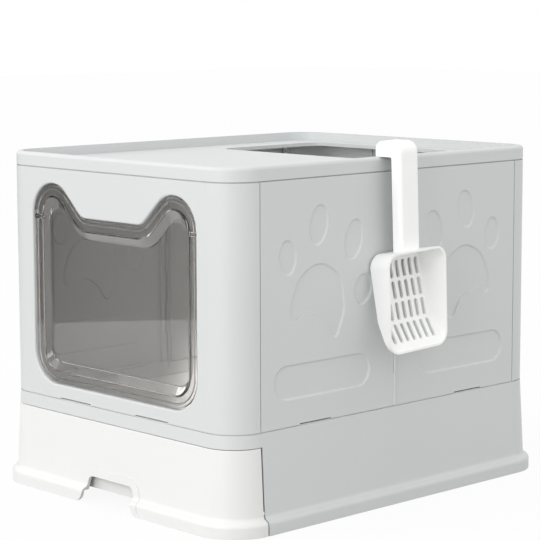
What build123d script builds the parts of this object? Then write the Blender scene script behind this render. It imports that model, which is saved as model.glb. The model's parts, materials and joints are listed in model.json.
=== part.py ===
from build123d import *
import os
from math import atan2, cos, degrees, radians, sin, tan

# Drawer litter box, in millimetres. +Z is up, the door and the drawer face -Y, and the origin lies on
# the floor under the centre of the enclosure.

os.makedirs("parts", exist_ok=True)

# ---- Overall sizes ----
box_width = 386.0
box_length = 482.0
corner_radius = 38.0
wall = 3.0
base_height = 107.4
enclosure_height = 258.2
lid_height = 16.4

# ---- Clearances and seams ----
seat_gap = 0.2
seam_gap = 1.0
seam_groove = 1.0
seam_groove_depth = 1.4
lid_groove = 1.3
lid_groove_depth = 2.2
pivot_gap = 0.05
open_pivot_gap = 0.4
join_overlap = 0.5

# ---- Base ----
base_flare = 5.2
skirt_height = 11.0
skirt_reach = 6.4
skirt_ogee = 10.0
flange_width = 8.0
flange_thickness = 3.0
flange_lip_wall = 2.0
side_edge_thickness = 1.2
side_edge_run = 8.0
drawer_opening_height = 92.0
frame_return = 39.5
rail_height = 24.0
rail_thickness = 3.0
rail_width = 18.0
floor_bar_width = 24.0
floor_bar_thickness = 4.0
floor_bar_spacing = 150.0

# ---- Drawer ----
drawer_gap = 0.8
drawer_side_gap = 2.2
fascia_setback = 0.8
fascia_flange = 2.5
tray_wall = 2.5
tray_side_gap = 4.0
tray_draft = 6.0
tray_front_gap = 2.0
tray_rear_gap = 10.0
tray_corner = 30.0
tray_run_gap = 0.3
apron_drop = 10.0
apron_margin = 60.0
fascia_edge_round = 1.0
hand_cut_height = 30.0
hand_cut_half_width = 36.5
hand_cut_spread = 8.5
hand_cut_top_round = 8.0
hand_cut_foot_round = 13.0
hand_bead_width = 9.0
hand_bead_height = 0.7

# ---- Door opening and flap ----
door_half_width = 139.0
door_sill = 15.6
door_head = 51.6
door_notch_half_width = 50.5
ear_slope = 43.0
ear_radius = 36.4
notch_radius = 18.0
door_corner_radius = 38.0
door_edge_round = 2.0
door_lip_wall = 1.8
door_lip_depth = 9.0
flap_gap = 2.0
flap_setback = 2.8
flap_thickness = 2.5
flap_ridge_inset = 5.5
flap_ridge_width = 2.0
flap_ridge_height = 0.8
flap_ridge_round = 0.75
flap_edge_round = 0.8
flap_crest_inset = 13.5
flap_crest_width = 2.4
flap_crest_height = 1.2
flap_crest_round = 1.0
flap_slope_run = 9.0
flap_slope_side_run = 4.5
flap_recess = 5.5
flap_pin_radius = 2.5
flap_pin_length = 10.0
flap_pin_drop = 3.7
flap_axis_depth = 6.2
flap_floor_corner = 18.0
flap_floor_ear = 30.0
pivot_boss_width = 9.5
pivot_boss_height = 13.0
pivot_boss_gap = 0.5
catch_centre = 60.0
catch_width = 27.0
catch_depth = 8.0
catch_height = 6.0
catch_drop = 0.8

# ---- Slots, their blind pockets and the locating ribs between base and enclosure ----
slot_height = 1.5
side_slot_length = 46.0
side_slot_centre = 122.0
front_slot_length = 54.0
front_slot_centre = 65.5
pocket_depth = 6.0
pocket_wall = 1.5
rib_height = 1.0
rib_thickness = 1.0
rib_end_gap = 1.0
foot_rebate_height = 2.2
foot_rebate_depth = 1.6

# ---- Hinges of the folding enclosure ----
corner_hinge_inset = 4.0
corner_knuckle_radius = 3.6
corner_rod_radius = 1.5
corner_web_length = 6.0
mid_knuckle_radius = 1.6
mid_rod_radius = 0.8
mid_web_length = 2.1
knuckle_count = 7
knuckle_gap = 0.4
rod_end_gap = 1.0
mid_rib_offset = 7.5
mid_rib_width = 2.6
mid_rib_depth = 3.0
mid_lug_length = 8.0
mid_lug_height = 6.5
mid_lug_reach = 1.2

# ---- Paw and pill relief on the side panels ----
relief_depth = 1.6
relief_edge = 2.2
toe_end_share = 0.75
pill_offset = -10.0
pill_drop = 82.3
pill_length = 144.0
pill_width = 37.5
# y and z from the panel's middle, half width, half height and lean of each toe
paw_toes = [
    (-61.6, 48.5, 13.0, 19.0, 3.0),
    (-16.2, 79.5, 14.0, 22.0, -12.0),
    (36.3, 60.0, 14.0, 22.5, -15.0),
    (51.0, 5.5, 14.0, 17.5, -18.0),
]
# y and z from the panel's middle, and rounding, of each corner of the pad
paw_pad = [
    (9.2, -49.2, 6),
    (24.5, -14.1, 33),
    (18.1, 24.4, 23),
    (-13.1, 42.9, 31),
    (-45.8, 29.1, 39),
    (-58.8, -1.6, 30),
    (-57.9, -23.8, 6),
    (-32.1, -6.9, 29),
    (-6.8, -24.4, 23),
]

# ---- Lid ----
lid_rim_width = 7.0
lid_edge_round = 4.0
deck_drop = 10.5
deck_thickness = 2.5
lid_band_wall = 4.5
exit_width = 277.0
exit_front = 42.0
exit_rear = 210.0
exit_corner = 20.0
exit_flange = 4.3
exit_flange_width = 2.5
tongue_length = 60.0
tongue_depth = 9.0
tongue_thickness = 2.5
tongue_centre = 95.0

# ---- Scoop ----
scoop_wall = 2.3
scoop_stand_off = 2.2
scoop_centre = -7.4
scoop_tilt = 2.2
scoop_handle_width = 31.0
scoop_handle_depth = 12.0
scoop_handle_stand_off = 15.0
scoop_handle_round = 5.0
scoop_handle_foot = 8.0
scoop_hook_rise = 17.2
scoop_hook_leg = 7.0
scoop_hook_leg_thickness = 3.0
scoop_hook_play = 0.6
scoop_hook_inner_round = 9.0
scoop_hook_outer_round = 12.0
scoop_hook_seat_round = 2.0
scoop_head_width = 92.0
scoop_head_length = 109.5
scoop_head_top_drop = 99.0
scoop_head_depth = 33.8
scoop_head_corner = 15.0
scoop_side_draft = 12.5
scoop_top_draft = 7.4
scoop_floor_start = 19.3
scoop_floor_bend_drop = 76.0
scoop_floor_bend_depth = 11.9
scoop_floor_slope = 30.5
scoop_floor_top_round = 6.0
scoop_floor_bend_round = 12.0
scoop_slot_width = 5.4
scoop_slot_pitch = 10.2
scoop_slot_columns = 7
scoop_slot_rows = 4
scoop_slot_first_drop = 23.3
scoop_slot_row_pitch = 22.2
scoop_slot_gap = 3.0

# ---- Levels and planes that follow from the sizes above ----
enclosure_top = base_height + enclosure_height
rim_top = enclosure_top + lid_height
half_width = box_width / 2
half_length = box_length / 2
front_face = -half_length
seam_line = half_length - frame_return
side_inner = half_width - wall
deck_top = rim_top - deck_drop
door_notch = enclosure_height - door_head
corner_axis_x = side_inner - corner_hinge_inset
fascia_edge = seam_line + fascia_setback
base_front_edge = fascia_edge - drawer_side_gap
skirt_neck = skirt_height + skirt_ogee
drawer_top = drawer_opening_height - drawer_gap
flap_axis_y = front_face + flap_axis_depth
flap_axis_z = base_height + door_notch - flap_pin_drop


def footprint(grow, height):
    """Rounded rectangle of the box, grown on every side, at a height."""
    shape = RectangleRounded(box_width + 2 * grow, box_length + 2 * grow, corner_radius + grow)
    return Plane.XY.offset(height) * shape


def block(grow, bottom, top):
    return extrude(footprint(grow, bottom), amount=top - bottom)


def flared(bottom_grow, bottom, top_grow, top):
    return loft([footprint(bottom_grow, bottom), footprint(top_grow, top)], ruled=True)


def cuboid(x_range, y_range, z_range):
    size = [high - low for low, high in (x_range, y_range, z_range)]
    centre = [(low + high) / 2 for low, high in (x_range, y_range, z_range)]
    return Pos(*centre) * Box(*size)


def mirrored_x(shape):
    return mirror(shape, about=Plane.YZ)


def mirrored_y(shape):
    return mirror(shape, about=Plane.XZ)


def base_grow(height):
    """How far the base wall stands out from the footprint at a height."""
    lean = base_flare * (base_height - height) / (base_height - skirt_height)
    return min(lean, base_flare)


def skirt_ring(proud):
    """Skirt round the whole footprint, from the floor up to the end of its ogee."""
    foot = base_flare + skirt_reach + proud
    neck = base_grow(skirt_neck) + proud
    middle = ((foot + neck) / 2, (skirt_height + skirt_neck) / 2)
    bulge = TangentArc((foot, skirt_height), middle, tangent=(0, 1))
    hollow = TangentArc(middle, (neck, skirt_neck), tangent=bulge % 1)
    outline = [
        Line((0, 0), (foot, 0)),
        Line((foot, 0), (foot, skirt_height)),
        bulge,
        hollow,
        Line((neck, skirt_neck), (0, skirt_neck)),
        Line((0, skirt_neck), (0, 0)),
    ]
    path = FilletPolyline(
        (0, -half_length),
        (half_width, -half_length),
        (half_width, half_length),
        (0, half_length),
        radius=corner_radius,
    )
    start = Plane(origin=(0, -half_length, 0), x_dir=(0, -1, 0), z_dir=(-1, 0, 0))
    half = sweep(start * make_face(outline), path=path)
    return half + mirrored_x(half)


def lower_outside(top, proud):
    """Outer form of the flared lower wall and its skirt, grown by a little."""
    foot = block(base_flare + proud, 0, skirt_height)
    upper = flared(base_flare + proud, skirt_height, base_grow(top) + proud, top)
    return foot + upper + skirt_ring(proud)


def lower_shell(top):
    """Flared lower wall with its skirt, shared by the base and the drawer front."""
    arch = skirt_height + skirt_ogee / 2 - wall
    inside = block(base_flare + skirt_reach - wall, -1, arch)
    inside += flared(base_flare - wall, arch - 1, base_grow(top) - wall, top + 1)
    return lower_outside(top, 0) - inside


# ---- Base housing ----
def make_base_housing():
    shell = lower_shell(base_height)
    wide = box_width + 4 * (base_flare + skirt_reach)
    mouth = cuboid(
        (-wide / 2, wide / 2),
        (-half_length * 2, -base_front_edge),
        (-1, drawer_opening_height),
    )
    shell = shell - mouth - thinned_front_edge(wide)
    flange_bottom = base_height - flange_thickness
    flange = block(-wall / 2, flange_bottom, base_height)
    flange -= block(-wall - flange_width, flange_bottom - 1, base_height + 1)
    lip = block(flange_lip_wall - wall - flange_width, drawer_opening_height, base_height)
    lip -= block(-wall - flange_width, drawer_opening_height - 1, base_height + 1)
    shell = shell + flange + lip + make_mid_lugs()
    groove = block(1, base_height - seam_groove, base_height + 1)
    groove -= block(-seam_groove_depth, base_height - seam_groove - 1, base_height + 2)
    shell -= groove
    return shell + make_rails() + make_floor_bars() + make_base_ribs()


def thinned_front_edge(wide):
    """What is taken off inside the side walls beside the drawer front, to leave a thin edge."""
    skin = side_edge_thickness
    inside = flared(
        base_grow(skirt_neck) - skin,
        skirt_neck,
        base_grow(drawer_opening_height) - skin,
        drawer_opening_height,
    )
    return inside & cuboid(
        (-wide / 2, wide / 2),
        (-base_front_edge - 1, side_edge_run - base_front_edge),
        (0, base_height),
    )


def make_mid_lugs():
    """Lugs on the inside of the flange's lip, at the middle of each long side."""
    lip_inside = half_width - wall - flange_width
    lug = cuboid(
        (lip_inside - mid_lug_reach, lip_inside + flange_lip_wall / 2),
        (-mid_lug_length / 2, mid_lug_length / 2),
        (base_height - mid_lug_height, base_height),
    )
    return lug + mirrored_x(lug)


def make_rails():
    wall_inside = half_width + base_grow(rail_height) - wall
    rail = cuboid(
        (wall_inside - rail_width, wall_inside + wall / 2),
        (side_edge_run - base_front_edge, half_length),
        (rail_height - rail_thickness, rail_height),
    )
    rail &= block(base_grow(rail_height) - wall / 2, 0, base_height)
    return rail + mirrored_x(rail)


def make_floor_bars():
    reach = half_width + base_flare + skirt_reach - wall / 2
    bars = Part()
    for place in (0, floor_bar_spacing):
        bars += cuboid(
            (-reach, reach),
            (place - floor_bar_width / 2, place + floor_bar_width / 2),
            (0, floor_bar_thickness),
        )
    return bars


def make_base_ribs():
    """Low ribs inside the pockets of the bottom slots, which locate the front and rear frames."""
    half_rib = front_slot_length / 2 - rib_end_gap
    rib_middle = front_face + wall + pocket_depth / 2
    rib = cuboid(
        (front_slot_centre - half_rib, front_slot_centre + half_rib),
        (rib_middle - rib_thickness / 2, rib_middle + rib_thickness / 2),
        (base_height - flange_thickness / 2, base_height + rib_height),
    )
    pair = rib + mirrored_x(rib)
    return pair + mirrored_y(pair)


# ---- Drawer ----
def make_drawer():
    fascia = lower_shell(drawer_top)
    grow_top = base_grow(drawer_top)
    fascia += block(grow_top - wall / 2, drawer_top - fascia_flange, drawer_top)
    fascia = fillet(fascia.edges().group_by(Axis.Z)[-1], fascia_edge_round)
    bead = lower_outside(drawer_top, hand_bead_height) - lower_outside(drawer_top, -wall / 2)
    fascia += bead & hand_cut_out(hand_bead_width)
    wide = box_width + 4 * (base_flare + skirt_reach)
    front_part = cuboid((-wide / 2, wide / 2), (-half_length * 2, -fascia_edge), (0, drawer_top + 1))
    fascia &= front_part
    fascia -= tray_block(0, rail_height - 1, drawer_top + 1)
    tray = tray_block(0, rail_height + tray_run_gap, drawer_top)
    hollow = tray_block(-tray_wall, rail_height + tray_run_gap + tray_wall, drawer_top + 1)
    apron_front = tray_front()
    apron_half = hand_cut_half_width + hand_cut_spread + apron_margin
    apron = cuboid(
        (-apron_half, apron_half),
        (apron_front, apron_front + tray_wall),
        (rail_height - apron_drop, drawer_top - fascia_flange / 2),
    )
    drawer = fascia + tray + apron - hollow
    return drawer - hand_cut_out(0)


def tray_front():
    return front_face + wall + tray_front_gap


def tray_block(grow, bottom, top):
    """Drafted body of the tray between two heights, grown on every side."""
    front = tray_front()
    rear = half_length - wall - tray_rear_gap
    half = half_width - wall - tray_side_gap
    sections = []
    for height in (bottom, top):
        draft = tray_draft * (drawer_top - height) / (drawer_top - rail_height)
        shape = RectangleRounded(
            2 * (half + grow - draft),
            rear - front + 2 * (grow - draft),
            tray_corner + grow,
        )
        sections.append(Pos(0, (front + rear) / 2, height) * shape)
    return loft(sections, ruled=True)


def hand_cut_out(grow):
    """Prism of the hand cut-out, which flares out to the floor, grown on every side."""
    top_half = hand_cut_half_width + grow
    foot_half = top_half + hand_cut_spread
    reach = foot_half + 2 * hand_cut_foot_round
    top_radius = hand_cut_top_round + grow
    points = [
        (-reach, 0),
        (-foot_half, 0),
        (-top_half, hand_cut_height + grow),
        (top_half, hand_cut_height + grow),
        (foot_half, 0),
        (reach, 0),
        (reach, -hand_cut_foot_round),
        (-reach, -hand_cut_foot_round),
    ]
    radii = [0, hand_cut_foot_round, top_radius, top_radius, hand_cut_foot_round, 0, 0, 0]
    path = FilletPolyline(*points, radius=radii, close=True)
    profile = Plane.XZ * make_face(path)
    return Pos(0, tray_front(), 0) * extrude(profile, amount=half_length)


# ---- Door outline ----
def ear_outline(inset, side_inset, radii):
    """Two-eared outline of the door, moved inwards from the door opening."""
    half = door_half_width - side_inset
    sill = base_height + door_sill + inset
    notch = base_height + door_notch - inset
    notch_half = door_notch_half_width + inset * tan(radians(ear_slope / 2))
    tip = notch + (half - notch_half) * tan(radians(ear_slope))
    corner, ear, valley = radii
    points = [
        (-half, sill),
        (half, sill),
        (half, tip),
        (notch_half, notch),
        (-notch_half, notch),
        (-half, tip),
    ]
    path = FilletPolyline(*points, radius=[corner, corner, ear, valley, valley, ear], close=True)
    return make_face(path)


def even_outline(inset):
    radii = (door_corner_radius - inset, ear_radius - inset, notch_radius + inset)
    return ear_outline(inset, inset, radii)


def slab(face, front, back):
    """Solid between two depths, both measured along +Y, from an outline seen from the front."""
    return extrude(Plane.XZ.offset(-front) * face, amount=front - back)


# ---- Front and rear frames ----
def frame_blank():
    ring = block(0, base_height + seat_gap, enclosure_top)
    ring -= block(-wall, base_height - 1, enclosure_top + 1)
    edge = seam_line + seam_gap / 2
    keep = cuboid((-half_width, half_width), (-half_length, -edge), (base_height, enclosure_top))
    frame = ring & keep
    half_slot = front_slot_length / 2
    pocket_back = front_face + wall + pocket_depth
    cover = cuboid(
        (front_slot_centre - half_slot - pocket_wall, front_slot_centre + half_slot + pocket_wall),
        (front_face + wall / 4, pocket_back + pocket_wall),
        (base_height + seat_gap, base_height + slot_height + pocket_wall),
    )
    slot = cuboid(
        (front_slot_centre - half_slot, front_slot_centre + half_slot),
        (front_face - 1, pocket_back),
        (base_height - 1, base_height + slot_height),
    )
    frame = frame + cover + mirrored_x(cover) - slot - mirrored_x(slot)
    for knuckle in range(0, knuckle_count, 2):
        frame += corner_knuckle(knuckle, -1)
        frame += mirrored_x(corner_knuckle(knuckle, -1))
    bore = corner_cylinder(corner_rod_radius + pivot_gap, 0, enclosure_height)
    return frame - bore - mirrored_x(bore)


def knuckle_span(index):
    """Bottom and top of one knuckle, counted up the hinge."""
    pitch = (enclosure_height - 2 * seat_gap) / knuckle_count
    bottom = base_height + seat_gap + index * pitch
    return bottom + knuckle_gap / 2, bottom + pitch - knuckle_gap / 2


def corner_cylinder(radius, lower, upper):
    """Cylinder on the front right corner hinge axis, between two heights over the base."""
    height = upper - lower
    return Pos(corner_axis_x, -seam_line, base_height + lower + height / 2) * Cylinder(radius, height)


def corner_knuckle(index, side):
    """Knuckle of the front right corner hinge, whose web runs to the frame (-1) or the panel (1)."""
    low, high = knuckle_span(index)
    barrel = corner_cylinder(corner_knuckle_radius, low - base_height, high - base_height)
    web_end = -seam_line + side * corner_web_length
    web_start = -seam_line
    web = cuboid(
        (corner_axis_x, side_inner + wall / 4),
        (min(web_start, web_end), max(web_start, web_end)),
        (low, high),
    )
    return barrel + web


def make_front_frame():
    frame = frame_blank() - slab(even_outline(0), front_face - 1, front_face + wall + 1)
    rim = [
        edge
        for edge in frame.edges().filter_by_position(Axis.Y, front_face - 0.01, front_face + 0.01)
        if abs(edge.center().X) < door_half_width + 1
        and base_height + door_sill - 1 < edge.center().Z < enclosure_top - 1
    ]
    frame = fillet(rim, door_edge_round)
    boss_start = door_half_width + pivot_boss_gap
    boss = cuboid(
        (boss_start, boss_start + pivot_boss_width),
        (front_face + wall / 2, flap_axis_y + flap_pin_radius + wall),
        (flap_axis_z - pivot_boss_height / 2, flap_axis_z + pivot_boss_height / 2),
    )
    boss -= pin_rod(flap_pin_radius + pivot_gap, half_width)
    catch_top = base_height + door_sill - catch_drop
    catch = cuboid(
        (catch_centre - catch_width / 2, catch_centre + catch_width / 2),
        (front_face + wall / 2, front_face + wall + catch_depth),
        (catch_top - catch_height, catch_top),
    )
    recess = cuboid(
        (catch_centre - catch_width / 2, catch_centre + catch_width / 2),
        (front_face + wall + door_lip_wall / 2, front_face + wall + catch_depth + 1),
        (catch_top, base_height + door_sill + 1),
    )
    fittings = boss + catch
    frame = frame + make_door_lip() + fittings + mirrored_x(fittings)
    return frame - recess - mirrored_x(recess)


def make_door_lip():
    """Return round the sides and the sill of the door opening, up to the pivot bosses."""
    back = front_face + door_lip_depth
    lip = slab(even_outline(-door_lip_wall), front_face + wall / 2, back)
    lip -= slab(even_outline(0), front_face, back + 1)
    top = flap_axis_z - pivot_boss_height / 2 + door_lip_wall / 2
    return lip & cuboid((-half_width, half_width), (front_face, back), (base_height, top))


def pin_rod(radius, half_reach):
    """Rod along the door's swing axis."""
    return Pos(0, flap_axis_y, flap_axis_z) * Rot(0, 90, 0) * Cylinder(radius, 2 * half_reach)


def make_rear_frame():
    return mirrored_y(frame_blank())


# ---- Door flap ----
def make_door_flap():
    front = front_face + flap_setback
    back = front + flap_thickness
    plate = slab(even_outline(flap_gap), front, back)
    ridge = slab(even_outline(flap_ridge_inset), front - flap_ridge_height, back)
    ridge -= slab(even_outline(flap_ridge_inset + flap_ridge_width), front - 2, back + 1)
    plate = fillet(plate.edges().group_by(Axis.Y)[0], flap_edge_round)
    ridge = fillet(ridge.edges().group_by(Axis.Y)[0], flap_ridge_round)
    crest_inner = flap_crest_inset + flap_crest_width
    crest = slab(even_outline(flap_crest_inset), front - flap_crest_height, back)
    flap = plate + flap_pin() + mirrored_x(flap_pin()) + ridge + crest
    floor_radii = (flap_floor_corner, flap_floor_corner, flap_floor_ear)
    run = flap_slope_run
    side_run = flap_slope_side_run
    pan_inset = crest_inner - flap_thickness
    pan = dish(pan_inset, run, side_run, back - join_overlap, back + flap_recess, floor_radii)
    hollow = dish(crest_inner, run, side_run, front - flap_crest_height, front + flap_recess, floor_radii)
    flap = flap + pan - hollow
    return fillet(flap.edges().group_by(Axis.Y)[0], flap_crest_round)


def flap_pin():
    """Right pivot pin, from under the flap's crest out into the frame's socket."""
    pin_start = door_half_width - flap_crest_inset - flap_crest_width / 2
    pin_end = door_half_width - flap_gap + flap_pin_length
    pin = Rot(0, 90, 0) * Cylinder(flap_pin_radius, pin_end - pin_start)
    return Pos((pin_start + pin_end) / 2, flap_axis_y, flap_axis_z) * pin


def dish(inset, run, side_run, front, back, floor_radii):
    mouth = Plane.XZ.offset(-front) * even_outline(inset)
    bottom = Plane.XZ.offset(-back) * ear_outline(inset + run, inset + side_run, floor_radii)
    return loft([mouth, bottom], ruled=True)


# ---- Side panels ----
def make_panel(open_pivot):
    """Right front panel. The other three are its mirror images."""
    near_end = -seam_line + seam_gap / 2
    panel = cuboid(
        (side_inner, half_width),
        (near_end, -mid_web_length),
        (base_height + seat_gap, enclosure_top),
    )
    panel += cuboid(
        (side_inner - mid_rib_depth, side_inner + join_overlap),
        (-mid_rib_offset - mid_rib_width / 2, -mid_rib_offset + mid_rib_width / 2),
        (base_height + seat_gap, enclosure_top),
    )
    panel -= cuboid(
        (side_inner - 1, side_inner + foot_rebate_depth),
        (near_end - 1, -mid_rib_offset - mid_rib_width),
        (base_height - 1, base_height + foot_rebate_height),
    )
    half_slot = side_slot_length / 2
    pocket_back = side_inner - pocket_depth
    panel += cuboid(
        (pocket_back - pocket_wall, half_width - wall / 4),
        (-side_slot_centre - half_slot - pocket_wall, -side_slot_centre + half_slot + pocket_wall),
        (base_height + seat_gap, base_height + slot_height + pocket_wall),
    )
    panel -= cuboid(
        (pocket_back, half_width + 1),
        (-side_slot_centre - half_slot, -side_slot_centre + half_slot),
        (base_height - 1, base_height + slot_height),
    )
    for bump in reliefs(side_inner):
        panel += bump
    for pocket in reliefs(half_width):
        panel -= pocket
    for knuckle in range(1, knuckle_count, 2):
        panel += corner_knuckle(knuckle, 1)
    gap = open_pivot_gap if open_pivot else pivot_gap
    panel -= corner_cylinder(corner_rod_radius + gap, 0, enclosure_height)
    return panel


def reliefs(face_x):
    """Shallow sloped-edge shapes of the right front panel, their mouths on the plane x = face_x."""
    plane = Plane(origin=(face_x, 0, 0), x_dir=(0, 1, 0), z_dir=(1, 0, 0))
    floor_plane = plane.offset(-relief_depth)
    pairs = zip(relief_outlines(0), relief_outlines(relief_edge))
    return [loft([plane * mouth, floor_plane * floor]) for mouth, floor in pairs]


def relief_outlines(inset):
    """Four toes, the pad and the pill, drawn in y and z, their edges drawn in by an inset."""
    toes = [
        Pos(y, z) * Rot(0, 0, turn) * oval(half_y - inset, half_z - inset)
        for y, z, half_y, half_z, turn in paw_toes
    ]
    pill = Pos(pill_offset, -pill_drop) * SlotOverall(pill_length - 2 * inset, pill_width - 2 * inset)
    to_panel = Pos(-seam_line / 2, base_height + enclosure_height / 2)
    return [to_panel * shape for shape in toes + [pad_outline(inset), pill]]


def pad_outline(inset):
    """Pad of the paw, shrunk towards its middle by the inset."""
    middle_y = sum(y for y, z, radius in paw_pad) / len(paw_pad)
    middle_z = sum(z for y, z, radius in paw_pad) / len(paw_pad)
    reach = max(y for y, z, radius in paw_pad) - middle_y
    share = 1 - inset / reach
    points = [(share * (y - middle_y), share * (z - middle_z)) for y, z, radius in paw_pad]
    radii = [share * radius for y, z, radius in paw_pad]
    return Pos(middle_y, middle_z) * make_face(FilletPolyline(*points, radius=radii, close=True))


def oval(half_y, half_z):
    """Oval of four arcs, with its long way along z."""
    end = toe_end_share * half_y
    reach = half_z - end
    side = (half_y**2 + reach**2 - end**2) / (2 * (half_y - end))
    shift = side - half_y
    lean = degrees(atan2(reach, shift))
    arcs = [
        CenterArc((-shift, 0), side, -lean, 2 * lean),
        CenterArc((0, reach), end, lean, 180 - 2 * lean),
        CenterArc((shift, 0), side, 180 - lean, 2 * lean),
        CenterArc((0, -reach), end, 180 + lean, 180 - 2 * lean),
    ]
    return make_face(arcs)


# ---- Lid ----
def make_lid():
    body = block(0, enclosure_top, rim_top)
    top_edges = body.edges().group_by(Axis.Z)[-1]
    body = fillet(top_edges, lid_edge_round)
    well = block(-lid_rim_width, deck_top, rim_top + 1)
    body -= well
    body -= block(-lid_band_wall, enclosure_top - 1, deck_top - deck_thickness)
    groove = block(1, enclosure_top - 1, enclosure_top + lid_groove)
    groove -= block(-lid_groove_depth, enclosure_top - 2, enclosure_top + lid_groove + 1)
    body -= groove
    exit_hole = exit_block(0, enclosure_top - 1, rim_top)
    lip = exit_block(exit_flange_width, deck_top - exit_flange, deck_top) - exit_hole
    body = body - exit_hole + lip
    tongue = cuboid(
        (tongue_centre - tongue_length / 2, tongue_centre + tongue_length / 2),
        (half_length - wall - seat_gap - tongue_thickness, half_length - wall - seat_gap),
        (enclosure_top - tongue_depth, deck_top - deck_thickness / 2),
    )
    return body + tongue + mirrored_x(tongue)


def exit_block(grow, bottom, top):
    shape = RectangleRounded(exit_width + 2 * grow, exit_rear - exit_front + 2 * grow, exit_corner + grow)
    return extrude(Pos(0, (exit_front + exit_rear) / 2, bottom) * shape, amount=top - bottom)


# ---- Scoop ----
def side_prism(points, radii, half_span):
    """Prism across the scoop from an outline in x and z."""
    path = FilletPolyline(*points, radius=radii, close=True)
    return extrude(Plane.XZ * make_face(path), amount=half_span, both=True)


def make_scoop():
    head_top = rim_top - scoop_head_top_drop
    outside = scoop_bowl(0, head_top, 0)
    cavity = scoop_bowl(scoop_wall, head_top, scoop_wall)
    scoop = make_scoop_handle(head_top) + outside - cavity - scoop_slots(head_top)
    turn = Pos(0, scoop_centre, rim_top) * Rot(scoop_tilt, 0, 0) * Pos(0, 0, -rim_top)
    return turn * scoop


def make_scoop_handle(head_top):
    """Channel-shaped handle, open at the back, with its hook over the rim of the lid."""
    leg_outer = half_width - lid_rim_width - scoop_hook_play
    leg_inner = leg_outer - scoop_hook_leg_thickness
    rear = half_width + scoop_handle_stand_off
    front = rear + scoop_handle_depth
    half = scoop_handle_width / 2
    seat = rim_top + seat_gap + half * sin(radians(scoop_tilt))
    top = rim_top + scoop_hook_rise
    foot = head_top - scoop_handle_foot
    skin = scoop_wall
    handle = side_prism(
        [
            (leg_inner, seat - scoop_hook_leg),
            (leg_inner, top),
            (front, top),
            (front, foot),
            (rear, foot),
            (rear, seat),
            (leg_outer, seat),
            (leg_outer, seat - scoop_hook_leg),
        ],
        [0, scoop_hook_inner_round, scoop_hook_outer_round, 0, 0, scoop_hook_seat_round, 0, 0],
        half,
    )
    near = 2 * scoop_handle_round
    outer_edges = [
        edge
        for edge in handle.edges()
        if abs(abs(edge.center().Y) - half) < 0.1
        and (edge.center().X > front - near or edge.center().Z > top - near)
        and edge.center().Z > head_top
    ]
    handle = fillet(outer_edges, scoop_handle_round)
    channel = side_prism(
        [
            (leg_outer, seat - 1),
            (leg_outer, top - skin),
            (front - skin, top - skin),
            (front - skin, head_top + skin),
            (rear - 1, head_top + skin),
            (rear - 1, seat - 1),
        ],
        [0, scoop_hook_inner_round - skin, scoop_hook_outer_round - skin, 0, 0, 0],
        half - skin,
    )
    return handle - channel


def scoop_bowl(skin, head_top, overrun):
    """Solid form of the bowl, drawn in by a skin and run on past its mouth for a cutter."""
    back = half_width + scoop_stand_off
    rim = back + scoop_head_depth
    bottom = head_top - scoop_head_length
    side_in = scoop_head_depth * tan(radians(scoop_side_draft))
    top_in = scoop_head_depth * tan(radians(scoop_top_draft))
    corner = scoop_head_corner - skin
    mouth = RectangleRounded(scoop_head_width - 2 * skin, scoop_head_length - 2 * skin, corner)
    rear = RectangleRounded(
        scoop_head_width - 2 * side_in - 2 * skin,
        scoop_head_length - top_in - 2 * skin,
        corner,
    )
    across = {"x_dir": (0, 1, 0), "z_dir": (1, 0, 0)}
    mouth = Plane(origin=(rim, 0, (head_top + bottom) / 2), **across) * mouth
    rear = Plane(origin=(back, 0, (head_top - top_in + bottom) / 2), **across) * rear
    bowl = loft([rear, mouth], ruled=True)
    if overrun:
        bowl += extrude(mouth, amount=overrun)
    slope = radians(scoop_floor_slope)
    bend_x = back + scoop_floor_bend_depth
    bend_z = head_top - scoop_floor_bend_drop
    below = bottom - scoop_head_corner
    ahead = rim + scoop_head_depth
    above = head_top + scoop_head_corner
    floor = [
        (back + skin, above),
        (back + skin, head_top - scoop_floor_start),
        (bend_x + skin / cos(slope / 2), bend_z),
        (bend_x + skin / cos(slope) + (bend_z - below) * tan(slope), below),
        (ahead, below),
        (ahead, above),
    ]
    radii = [0, scoop_floor_top_round, scoop_floor_bend_round, 0, 0, 0]
    return bowl & side_prism(floor, radii, scoop_head_width)


def scoop_slots(head_top):
    slots = Part()
    long = scoop_slot_row_pitch - scoop_slot_gap
    reach = scoop_stand_off + scoop_head_depth
    for row in range(scoop_slot_rows):
        height = head_top - scoop_slot_first_drop - row * scoop_slot_row_pitch
        for column in range(scoop_slot_columns):
            place = (column - (scoop_slot_columns - 1) / 2) * scoop_slot_pitch
            plane = Plane(origin=(half_width, place, height), x_dir=(0, 0, 1), z_dir=(1, 0, 0))
            slots += extrude(plane * SlotOverall(long, scoop_slot_width), amount=reach)
    return slots


# ---- Hinge rods ----
def make_corner_rod():
    return corner_cylinder(corner_rod_radius, rod_end_gap, enclosure_height - rod_end_gap)


def mid_cylinder(radius, low, high):
    return Pos(half_width, 0, (low + high) / 2) * Cylinder(radius, high - low)


def mid_knuckle(index, side):
    """Knuckle of the right mid hinge, whose web runs to the front (-1) or the rear (1) panel."""
    low, high = knuckle_span(index)
    barrel = mid_cylinder(mid_knuckle_radius, low, high)
    ends = sorted((0, side * (mid_web_length + join_overlap)))
    return barrel + cuboid((side_inner, half_width), ends, (low, high))


def with_mid_knuckles(panel, first, side):
    for knuckle in range(first, knuckle_count, 2):
        panel += mid_knuckle(knuckle, side)
    bore = mid_cylinder(mid_rod_radius + pivot_gap, base_height, enclosure_top)
    return panel - bore


def make_mid_rod():
    return mid_cylinder(mid_rod_radius, base_height + rod_end_gap, enclosure_top - rod_end_gap)


right_front = with_mid_knuckles(make_panel(False), 0, -1)
right_rear = with_mid_knuckles(mirrored_y(make_panel(False)), 1, 1)
left_front = mirrored_x(with_mid_knuckles(make_panel(True), 0, -1))

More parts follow.
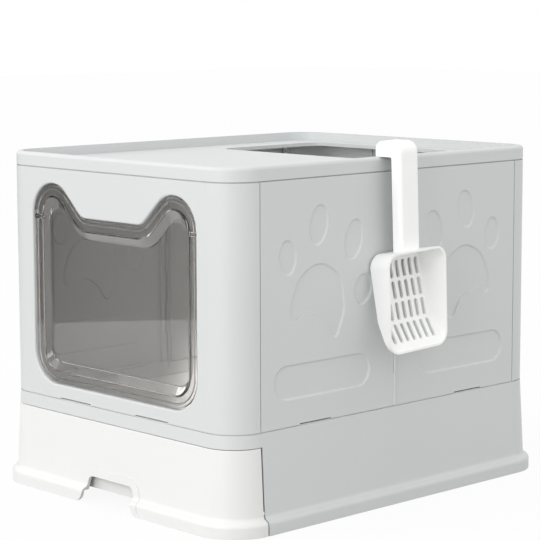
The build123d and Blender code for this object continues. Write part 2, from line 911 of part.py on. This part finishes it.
pieces = {
    "base_housing": make_base_housing(),
    "drawer": make_drawer(),
    "front_frame": make_front_frame(),
    "rear_frame": make_rear_frame(),
    "right_front_panel": right_front,
    "right_rear_panel": right_rear,
    "left_front_panel": left_front,
    "left_rear_panel": mirrored_x(right_rear),
    "door_flap": make_door_flap(),
    "lid": make_lid(),
    "scoop": make_scoop(),
    "front_right_hinge_rod": make_corner_rod(),
    "front_left_hinge_rod": mirrored_x(make_corner_rod()),
    "rear_right_hinge_rod": mirrored_y(make_corner_rod()),
    "rear_left_hinge_rod": mirrored_x(mirrored_y(make_corner_rod())),
    "right_mid_hinge_rod": make_mid_rod(),
    "left_mid_hinge_rod": mirrored_x(make_mid_rod()),
}

for name, piece in pieces.items():
    export_step(piece, f"parts/{name}.step")
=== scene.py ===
import bpy
import json
import math
from mathutils import Matrix, Vector

# Drawer litter box: looks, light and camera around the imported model. Lengths are in metres and angles
# in degrees, and the box's front faces -Y.

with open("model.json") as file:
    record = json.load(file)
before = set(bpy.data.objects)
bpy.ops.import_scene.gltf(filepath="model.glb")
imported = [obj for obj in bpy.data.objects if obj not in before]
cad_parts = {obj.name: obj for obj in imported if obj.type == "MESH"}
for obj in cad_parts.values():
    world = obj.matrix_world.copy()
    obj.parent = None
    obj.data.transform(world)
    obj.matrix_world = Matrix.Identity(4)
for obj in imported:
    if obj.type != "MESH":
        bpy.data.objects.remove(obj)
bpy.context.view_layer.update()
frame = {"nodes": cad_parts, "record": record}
nodes = frame["nodes"]
print("frame loaded:", len(nodes), "nodes")


def toLinear(hexColour):
    # sRGB hex to linear RGBA
    values = [int(hexColour[i:i + 2], 16) / 255 for i in (1, 3, 5)]
    linear = [v / 12.92 if v <= 0.04045 else ((v + 0.055) / 1.055) ** 2.4 for v in values]
    return (*linear, 1.0)


def newMaterial(name):
    material = bpy.data.materials.new(name)
    material.use_nodes = True
    material.node_tree.nodes.clear()
    return material


def addNode(tree, kind, settings=None, values=None, links=None):
    # one node with its settings, its socket values and its incoming links
    node = tree.nodes.new(kind)
    for key, value in (settings or {}).items():
        setattr(node, key, value)
    for key, value in (values or {}).items():
        node.inputs[key].default_value = value
    for key, source in (links or {}).items():
        tree.links.new(source, node.inputs[key])
    return node


# Camera: place, angles and focal length come from a least-squares solve over the straight edges of the
# box in the photograph

cameraSet = {
    "place": (1.61435, -1.53761, 0.53714),
    "yaw": 47.008,
    "pitch": 7.423,
    "roll": -0.246,
    "focalPixels": 1934.17,
    "framePixels": 540,
    "axisPixel": (252.29, 263.66),  # where the lens axis meets the picture
    "sensor": 36.0,  # mm
}


def makeCamera(view):
    yaw, pitch, roll = (math.radians(view[key]) for key in ("yaw", "pitch", "roll"))
    forward = Vector((
        -math.sin(yaw) * math.cos(pitch),
        math.cos(yaw) * math.cos(pitch),
        -math.sin(pitch),
    ))
    level = Vector((math.cos(yaw), math.sin(yaw), 0))
    upright = level.cross(forward)
    right = level * math.cos(roll) + upright * math.sin(roll)
    up = upright * math.cos(roll) - level * math.sin(roll)
    data = bpy.data.cameras.new("camera")
    data.sensor_fit = "HORIZONTAL"
    data.sensor_width = view["sensor"]
    data.lens = view["focalPixels"] / view["framePixels"] * view["sensor"]
    halfFrame = view["framePixels"] / 2
    data.shift_x = (halfFrame - view["axisPixel"][0]) / view["framePixels"]
    data.shift_y = (view["axisPixel"][1] - halfFrame) / view["framePixels"]
    camera = bpy.data.objects.new("camera", data)
    bpy.context.scene.collection.objects.link(camera)
    turn = Matrix((right, up, -forward)).transposed().to_4x4()
    camera.matrix_world = Matrix.Translation(view["place"]) @ turn
    bpy.context.scene.camera = camera


makeCamera(cameraSet)
print("camera placed")


# Light: a key from the front left, a lamp from the front, a weak one overhead, a very weak one inside
# the base that reaches the tray's left wall, and an even white surround

boxMiddle = (0.0, 0.0, 0.18)
lightSet = {
    "lamps": {
        "key": {"place": (-1.8, -2.6, 2.0), "aim": boxMiddle, "size": 2.4, "spread": 180, "power": 20.0},
        "front": {"place": (0.6, -3.0, 1.0), "aim": boxMiddle, "size": 2.0, "spread": 180, "power": 31.7},
        "top": {"place": (0.5, 0.5, 2.6), "aim": boxMiddle, "size": 1.2, "spread": 180, "power": 0.5},
        "tray": {
            "place": (0.12, 0.08, 0.1),
            "aim": (-0.17, 0.1, 0.045),
            "size": 0.06,
            "spread": 40,
            "power": 0.11,
        },
    },
    "surround": 1.11,  # strength that lights the box
    "backdrop": 1.0,  # strength where the surround itself is seen
    "colour": "#ffffff",
}


def seenShare(tree):
    # 1 for rays that show the backdrop itself: from the camera, off gloss and through clear parts
    path = addNode(tree, "ShaderNodeLightPath")
    larger = {"operation": "MAXIMUM"}
    direct = {0: path.outputs["Is Camera Ray"], 1: path.outputs["Is Glossy Ray"]}
    seen = addNode(tree, "ShaderNodeMath", larger, links=direct)
    through = {0: seen.outputs[0], 1: path.outputs["Is Transmission Ray"]}
    return addNode(tree, "ShaderNodeMath", larger, links=through)


def makeLights(lighting):
    for name, lampSet in lighting["lamps"].items():
        lamp = bpy.data.lights.new(name, "AREA")
        lamp.size = lampSet["size"]
        lamp.spread = math.radians(lampSet["spread"])
        lamp.energy = lampSet["power"]
        holder = bpy.data.objects.new(name, lamp)
        bpy.context.scene.collection.objects.link(holder)
        holder.location = lampSet["place"]
        aim = Vector(lampSet["aim"]) - Vector(lampSet["place"])
        holder.rotation_euler = aim.to_track_quat("-Z", "Y").to_euler()
        holder.visible_camera = False
    world = bpy.data.worlds.new("surround")
    bpy.context.scene.world = world
    world.use_nodes = True
    tree = world.node_tree
    tree.nodes.clear()
    white = toLinear(lighting["colour"])
    lit = {"Color": white, "Strength": lighting["surround"]}
    light = addNode(tree, "ShaderNodeBackground", values=lit)
    shown = {"Color": white, "Strength": lighting["backdrop"]}
    backdrop = addNode(tree, "ShaderNodeBackground", values=shown)
    sides = {0: seenShare(tree).outputs[0], 1: light.outputs[0], 2: backdrop.outputs[0]}
    mix = addNode(tree, "ShaderNodeMixShader", links=sides)
    addNode(tree, "ShaderNodeOutputWorld", links={"Surface": mix.outputs[0]})


makeLights(lightSet)
bpy.context.scene.view_settings.view_transform = "Standard"
print("lamps and surround lit")

# the table glows white where it is seen, but for a share of lit paper that keeps the box's shadow
tableSet = {
    "half": 12.0,
    "colour": "#b8b8b8",
    "shadowShare": 0.12,
    "glow": 1.05,
    "glowColour": "#ffffff",
}


def makeTable(sheet):
    bpy.ops.object.select_all(action="DESELECT")
    bpy.ops.mesh.primitive_plane_add(size=2 * sheet["half"], location=(0, 0, 0))
    table = bpy.context.active_object
    table.name = "table"
    material = newMaterial("white_table_paper")
    tree = material.node_tree
    glowShare = {1: 1 - sheet["shadowShare"]}
    seen = {0: seenShare(tree).outputs[0]}
    share = addNode(tree, "ShaderNodeMath", {"operation": "MULTIPLY"}, glowShare, seen)
    paper = addNode(tree, "ShaderNodeBsdfDiffuse", values={"Color": toLinear(sheet["colour"])})
    bright = {"Color": toLinear(sheet["glowColour"]), "Strength": sheet["glow"]}
    glow = addNode(tree, "ShaderNodeEmission", values=bright)
    parts = {0: share.outputs[0], 1: paper.outputs[0], 2: glow.outputs[0]}
    mix = addNode(tree, "ShaderNodeMixShader", links=parts)
    addNode(tree, "ShaderNodeOutputMaterial", links={"Surface": mix.outputs[0]})
    table.data.materials.append(material)


makeTable(tableSet)

# a black card stands on the table and shows in gloss only: the door mirrors it above the white table
cardSet = {"away": 1.412, "bearing": 215.2, "width": 5.0, "height": 0.34, "colour": "#0c0b0a"}


def makeCard(card):
    bpy.ops.object.select_all(action="DESELECT")
    turn = math.radians(card["bearing"])
    place = (card["away"] * math.cos(turn), card["away"] * math.sin(turn), card["height"] / 2)
    upright = (math.pi / 2, 0, turn + math.pi / 2)
    bpy.ops.mesh.primitive_plane_add(size=1, location=place, rotation=upright)
    plane = bpy.context.active_object
    plane.name = "black_card"
    plane.scale = (card["width"], card["height"], 1)
    for kind in ("camera", "diffuse", "transmission", "shadow", "volume_scatter"):
        setattr(plane, "visible_" + kind, False)
    material = newMaterial("black_card")
    tree = material.node_tree
    black = addNode(tree, "ShaderNodeBsdfDiffuse", values={"Color": toLinear(card["colour"])})
    addNode(tree, "ShaderNodeOutputMaterial", links={"Surface": black.outputs[0]})
    plane.data.materials.append(material)


makeCard(cardSet)
print("table and card placed")


# Moulded polypropylene: satin, with wide soft highlights and a fine spark-eroded grain from the steel
# mould. Such grain is about 0.1 mm wide, too fine to show here, so it is drawn 1.1 mm wide.

mouldSet = {
    "ior": 1.49,
    "grain": 0.0011,
    "grainDetail": 1.0,
    "grainHeight": 0.0004,
    "grainLow": 0.3,  # most of the noise lies between these two
    "grainHigh": 0.7,
    "roughnessSwing": 0.04,
    "patchesPerMetre": 9.0,  # faint cloudy tone from the plastic's flow, patches about 110 mm wide
    "patchDetail": 2.0,
}
greySet = {
    **mouldSet,
    "name": "moulded_polypropylene_grey",
    "colour": "#cdcfcf",
    "patch": "#cacccc",
    "roughness": 0.46,
    "bump": 0.04,
}
whiteSet = {
    **mouldSet,
    "name": "moulded_polypropylene_white",
    "colour": "#dfdfde",
    "patch": "#dddddc",
    "roughness": 0.4,
    "bump": 0.03,
}
# painted light: the scoop gets a brighter white than the drawer, so that on the box's side, which the
# lamps light less, it shows about as brightly lit as the drawer front
scoopPaintedLightSet = {
    **whiteSet,
    "name": "moulded_polypropylene_white_painted_brighter",
    # painted light: this white is brighter than the drawer's to make up for the weaker lamp light on the
    # side
    "colour": "#f9f9f8",
    "patch": "#f7f7f6",
}


def makeMoulded(look):
    material = newMaterial(look["name"])
    tree = material.node_tree
    place = addNode(tree, "ShaderNodeTexCoord")
    here = {"Vector": place.outputs["Object"]}
    cloudy = {"Scale": look["patchesPerMetre"], "Detail": look["patchDetail"]}
    patch = addNode(tree, "ShaderNodeTexNoise", values=cloudy, links=here)
    colour = addNode(tree, "ShaderNodeMix", {"data_type": "RGBA"}, links={0: patch.outputs["Fac"]})
    colour.inputs[6].default_value = toLinear(look["colour"])
    colour.inputs[7].default_value = toLinear(look["patch"])
    fine = {"Scale": 1 / look["grain"], "Detail": look["grainDetail"]}
    grain = addNode(tree, "ShaderNodeTexNoise", values=fine, links=here)
    spread = {
        "From Min": look["grainLow"],
        "From Max": look["grainHigh"],
        "To Min": look["roughness"] - look["roughnessSwing"],
        "To Max": look["roughness"] + look["roughnessSwing"],
    }
    rough = addNode(tree, "ShaderNodeMapRange", values=spread, links={"Value": grain.outputs["Fac"]})
    depth = {"Strength": look["bump"], "Distance": look["grainHeight"]}
    bump = addNode(tree, "ShaderNodeBump", values=depth, links={"Height": grain.outputs["Fac"]})
    surface = {"Base Color": colour.outputs[2], "Roughness": rough.outputs[0], "Normal": bump.outputs[0]}
    shader = addNode(tree, "ShaderNodeBsdfPrincipled", values={"IOR": look["ior"]}, links=surface)
    addNode(tree, "ShaderNodeOutputMaterial", links={"Surface": shader.outputs[0]})
    return material


# Smoky styrene from a polished mould: clear and glossy, so it shows the tray behind it and mirrors what
# stands before it. Its index is above styrene's 1.59, which makes that mirror image stronger.

clearSet = {
    "name": "polished_smoky_styrene",
    "colour": "#e6e2df",
    "shade": "#f8f6f4",
    "roughness": 0.02,
    "ior": 1.68,
}


def makeClear(look):
    # lamps shine through the clear sheet, so what is behind it is lit as in daylight
    material = newMaterial(look["name"])
    tree = material.node_tree
    sheet = {
        "Base Color": toLinear(look["colour"]),
        "Roughness": look["roughness"],
        "IOR": look["ior"],
        "Transmission Weight": 1.0,
    }
    shader = addNode(tree, "ShaderNodeBsdfPrincipled", values=sheet)
    through = addNode(tree, "ShaderNodeBsdfTransparent", values={"Color": toLinear(look["shade"])})
    path = addNode(tree, "ShaderNodeLightPath")
    rays = {0: path.outputs["Is Shadow Ray"], 1: shader.outputs[0], 2: through.outputs[0]}
    mix = addNode(tree, "ShaderNodeMixShader", links=rays)
    addNode(tree, "ShaderNodeOutputMaterial", links={"Surface": mix.outputs[0]})
    return material


# Drawn steel wire: a dull metal shine, on the hinge rods inside the seams

steelSet = {"name": "drawn_steel_wire", "colour": "#b9bbbd", "roughness": 0.32}


def makeSteel(look):
    material = newMaterial(look["name"])
    tree = material.node_tree
    wire = {"Base Color": toLinear(look["colour"]), "Metallic": 1.0, "Roughness": look["roughness"]}
    shader = addNode(tree, "ShaderNodeBsdfPrincipled", values=wire)
    addNode(tree, "ShaderNodeOutputMaterial", links={"Surface": shader.outputs[0]})
    return material


finishes = {
    "grey_moulding": makeMoulded(greySet),
    "white_moulding": makeMoulded(whiteSet),
    "clear_moulding": makeClear(clearSet),
    "steel_rod": makeSteel(steelSet),
}
# the scoop takes the white with painted light
ownFinishes = {"scoop": makeMoulded(scoopPaintedLightSet)}


def dressNodes():
    slots = {part["node"]: part["material_slot"] for part in frame["record"]["subparts"]}
    for name, piece in nodes.items():
        piece.data.materials.clear()
        piece.data.materials.append(ownFinishes.get(name, finishes[slots[name]]))


dressNodes()
print("materials given")
